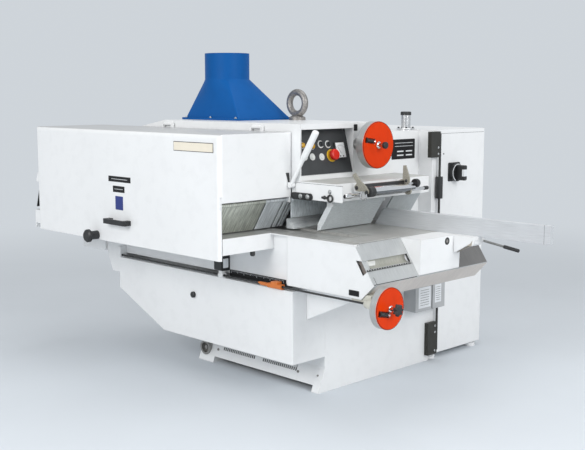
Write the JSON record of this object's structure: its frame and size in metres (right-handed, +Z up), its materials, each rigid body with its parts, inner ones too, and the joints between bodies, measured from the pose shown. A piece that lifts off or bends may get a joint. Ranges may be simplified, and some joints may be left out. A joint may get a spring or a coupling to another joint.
{
  "type": "chain-feed rip saw",
  "caption": "Chain-feed rip saw for boards: a lift-up front hood, overarm with control panel and handwheel, anti-kickback fingers, long fence, dust hood and electrical cabinet.",
  "frame": {"origin": "on the floor under the middle of the bounding box", "axes": "+X towards the infeed end, along the feed; +Y towards the electrical cabinet at the back; +Z up"},
  "size_m": [2.96, 2.08, 1.781],
  "materials": {
    "white_paint": "smooth white machine paint",
    "bed_casting": "ground top, painted sides",
    "chain_steel": "worn ground steel",
    "motor_grey": "grey motor paint",
    "table_steel": "ground top, white edge",
    "sheet_steel": "satin sheet",
    "panel_black": "satin black",
    "meter_case": "white meter face",
    "housing_iron": "machined",
    "bracket_steel": "light cast",
    "counter_black": "matte black",
    "blue_paint": "blue paint",
    "eye_steel": "forged",
    "pillar_steel": "ground steel with a black cap",
    "hinge_black": "black covers on a steel rod",
    "switchgear": "grey devices",
    "box_grey": "grey paint",
    "grip_black": "black moulding",
    "finger_steel": "ground plate edges",
    "drum_steel": "turned",
    "shaft_steel": "ground",
    "shaft_dark": "oiled",
    "blade_steel": "ground",
    "carrier_iron": "painted",
    "wheel_red": "red face, grey rim",
    "nut_orange": "orange",
    "lever_white": "white",
    "arm_steel": "plated",
    "roller_chrome": "polished, black ends",
    "fence_metal": "anodised",
    "lever_steel": "dark rod, black grip",
    "stop_red": "red",
    "button_green": "green",
    "button_white": "white",
    "button_red": "red"
  },
  "bodies": {
    "frame": {"base_frame": "white_paint", "base_front_cover": "white_paint", "table_casting": "bed_casting", "feed_chain": "chain_steel", "feed_gearmotor": "motor_grey", "outfeed_table": "table_steel", "table_front_skirt": "white_paint", "infeed_nose_plate": "sheet_steel", "infeed_end_block": "white_paint", "column": "white_paint", "overarm": "white_paint", "control_panel": "panel_black", "panel_ammeter": "meter_case", "guard_block": "white_paint", "arbor_housing": "housing_iron", "saw_motor": "motor_grey", "wheel_bracket": "bracket_steel", "tail_bracket": "bracket_steel", "position_counter": "counter_black", "dust_hood": "blue_paint", "lifting_eye": "eye_steel", "guide_pillar": "pillar_steel", "cabinet_body": "white_paint", "door_hinge_rod": "hinge_black", "switchgear_plate": "switchgear", "junction_box": "box_grey"},
    "hood": {"hood_shell": "white_paint", "hood_handle": "grip_black"},
    "curtain": {"splinter_curtain": "finger_steel"},
    "hood_latch": {"hood_latch_knob": "grip_black"},
    "cover_lock": {"cover_lock_knob": "grip_black"},
    "drive_drum_body": {"drive_drum": "drum_steel"},
    "idler_drum_body": {"idler_drum": "drum_steel"},
    "saw_spindle": {"saw_arbor": "shaft_steel", "saw_blades": "blade_steel"},
    "pressure_front": {"pressure_carrier_front": "carrier_iron"},
    "pressure_rear": {"pressure_carrier_rear": "carrier_iron"},
    "front_roller": {"pressure_roller_front": "drum_steel"},
    "rear_roller": {"pressure_roller_rear": "drum_steel"},
    "upper_wheel": {"upper_handwheel": "wheel_red"},
    "upper_grip": {"upper_wheel_grip": "grip_black"},
    "lower_wheel": {"lower_handwheel": "wheel_red", "setting_shaft": "shaft_dark"},
    "lower_grip": {"lower_wheel_grip": "grip_black"},
    "pointer": {"pointer_nut": "nut_orange"},
    "fingers": {"finger_row": "finger_steel"},
    "lift_lever": {"finger_lever": "lever_white"},
    "holddown": {"holddown_arm": "arm_steel"},
    "holddown_roll": {"holddown_roller": "roller_chrome"},
    "fence": {"fence_bar": "fence_metal", "fence_carrier": "white_paint"},
    "fence_clamp": {"fence_lever": "lever_steel"},
    "door": {"cabinet_door": "white_paint"},
    "main_switch": {"main_switch_handle": "grip_black"},
    "stop_button": {"e_stop": "stop_red"},
    "button_green": {"green_button": "button_green"},
    "button_black": {"black_button": "grip_black"},
    "button_white": {"white_button": "button_white"},
    "selector_left": {"left_selector": "button_red"},
    "selector_right": {"right_selector": "button_red"}
  },
  "joints": [
    {"name": "hood_lift", "type": "hinge", "parent": "frame", "child": "hood", "pos_m": [0, -0.49, 1.374], "axis": [-1, 0, 0], "range_deg": [0, 85]},
    {"name": "curtain_swing", "type": "hinge", "parent": "hood", "child": "curtain", "pos_m": [0.245, -0.7, 1.008], "axis": [0, 1, 0], "range_deg": [0, 40]},
    {"name": "hood_latch_turn", "type": "hinge", "parent": "hood", "child": "hood_latch", "pos_m": [-0.785, -0.964, 0.766], "axis": [0, -1, 0], "range_deg": [0, 90]},
    {"name": "cover_lock_turn", "type": "hinge", "parent": "frame", "child": "cover_lock", "pos_m": [-0.354, -0.628, 0.44], "axis": [0, -1, 0], "range_deg": [0, 90]},
    {"name": "drive_drum_spin", "type": "hinge", "parent": "frame", "child": "drive_drum_body", "pos_m": [-1.08249, -0.447, 0.747], "axis": [0, 1, 0], "continuous": true},
    {"name": "idler_drum_spin", "type": "hinge", "parent": "frame", "child": "idler_drum_body", "pos_m": [0.72, -0.447, 0.747], "axis": [0, 1, 0], "continuous": true},
    {"name": "saw_spin", "type": "hinge", "parent": "frame", "child": "saw_spindle", "pos_m": [-0.56, 0, 1.026], "axis": [0, 1, 0], "continuous": true},
    {"name": "upper_wheel_turn", "type": "hinge", "parent": "frame", "child": "upper_wheel", "pos_m": [0.332, -0.05, 1.28], "axis": [1, 0, 0], "range_deg": [0, 3240]},
    {"name": "upper_grip_fold", "type": "hinge", "parent": "upper_wheel", "child": "upper_grip", "pos_m": [0.4833, -0.13979, 1.30706], "axis": [0, -0.1392, -0.9903], "range_deg": [0, 90]},
    {"name": "pressure_front_drop", "type": "slide", "parent": "frame", "child": "pressure_front", "axis": [0, 0, -1], "range_m": [0, 0.09]},
    {"name": "pressure_rear_drop", "type": "slide", "parent": "frame", "child": "pressure_rear", "axis": [0, 0, -1], "range_m": [0, 0.09]},
    {"name": "front_roller_spin", "type": "hinge", "parent": "pressure_front", "child": "front_roller", "pos_m": [-0.309, -0.45, 0.984], "axis": [0, 1, 0], "continuous": true},
    {"name": "rear_roller_spin", "type": "hinge", "parent": "pressure_rear", "child": "rear_roller", "pos_m": [-0.811, -0.45, 0.984], "axis": [0, 1, 0], "continuous": true},
    {"name": "lower_wheel_turn", "type": "hinge", "parent": "frame", "child": "lower_wheel", "pos_m": [1.02, -0.634, 0.584], "axis": [1, 0, 0], "range_deg": [0, 4500]},
    {"name": "lower_grip_fold", "type": "hinge", "parent": "lower_wheel", "child": "lower_grip", "pos_m": [1.0583, -0.69952, 0.56857], "axis": [0, -0.2079, -0.9781], "range_deg": [0, 90]},
    {"name": "pointer_travel", "type": "slide", "parent": "frame", "child": "pointer", "axis": [-1, 0, 0], "range_m": [0, 0.25]},
    {"name": "finger_lift", "type": "hinge", "parent": "frame", "child": "fingers", "pos_m": [0.48, -0.2, 0.998], "axis": [0, 1, 0], "range_deg": [0, 45]},
    {"name": "lift_lever_pull", "type": "hinge", "parent": "frame", "child": "lift_lever", "pos_m": [0.286, -0.49, 1.086], "axis": [0, 1, 0], "range_deg": [0, 40]},
    {"name": "holddown_lift", "type": "hinge", "parent": "frame", "child": "holddown", "pos_m": [0.608, -0.15, 1.083], "axis": [0, -1, 0], "range_deg": [0, 25]},
    {"name": "holddown_roll_spin", "type": "hinge", "parent": "holddown", "child": "holddown_roll", "pos_m": [0.675, -0.15, 1.066], "axis": [0, 1, 0], "continuous": true},
    {"name": "fence_slide", "type": "slide", "parent": "frame", "child": "fence", "axis": [0, -1, 0], "range_m": [0, 0.25]},
    {"name": "fence_clamp_lift", "type": "hinge", "parent": "fence", "child": "fence_clamp", "pos_m": [1.072, 0.051, 0.8273], "axis": [0, -1, 0], "range_deg": [0, 70]},
    {"name": "door_swing", "type": "hinge", "parent": "frame", "child": "door", "pos_m": [0.447, 0.536, 0.7], "axis": [0, 0, -1], "range_deg": [0, 95]},
    {"name": "main_switch_turn", "type": "hinge", "parent": "door", "child": "main_switch", "pos_m": [0.425, 0.703, 1.091], "axis": [1, 0, 0], "range_deg": [0, 90]},
    {"name": "stop_push", "type": "slide", "parent": "frame", "child": "stop_button", "axis": [-0.9651, 0, -0.2617], "range_m": [0, 0.005], "stiffness_N_per_m": 800},
    {"name": "green_push", "type": "slide", "parent": "frame", "child": "button_green", "axis": [-0.9651, 0, -0.2617], "range_m": [0, 0.004], "stiffness_N_per_m": 800},
    {"name": "black_push", "type": "slide", "parent": "frame", "child": "button_black", "axis": [-0.9651, 0, -0.2617], "range_m": [0, 0.004], "stiffness_N_per_m": 800},
    {"name": "white_push", "type": "slide", "parent": "frame", "child": "button_white", "axis": [-0.9651, 0, -0.2617], "range_m": [0, 0.004], "stiffness_N_per_m": 800},
    {"name": "left_selector_turn", "type": "hinge", "parent": "frame", "child": "selector_left", "pos_m": [0.28813, -0.287, 1.28492], "axis": [0.9651, 0, 0.2617], "range_deg": [0, 60]},
    {"name": "right_selector_turn", "type": "hinge", "parent": "frame", "child": "selector_right", "pos_m": [0.28866, -0.232, 1.28299], "axis": [0.9651, 0, 0.2617], "range_deg": [0, 60]}
  ],
  "couplings": [
    {"joint": "idler_drum_spin", "follows": "drive_drum_spin", "ratio": 1},
    {"joint": "pressure_front_drop", "follows": "upper_wheel_turn", "m_per_rad": 0.0015915},
    {"joint": "pressure_rear_drop", "follows": "upper_wheel_turn", "m_per_rad": 0.0015915},
    {"joint": "pointer_travel", "follows": "lower_wheel_turn", "m_per_rad": 0.0031831},
    {"joint": "lift_lever_pull", "follows": "finger_lift", "ratio": 0.88889}
  ]
}
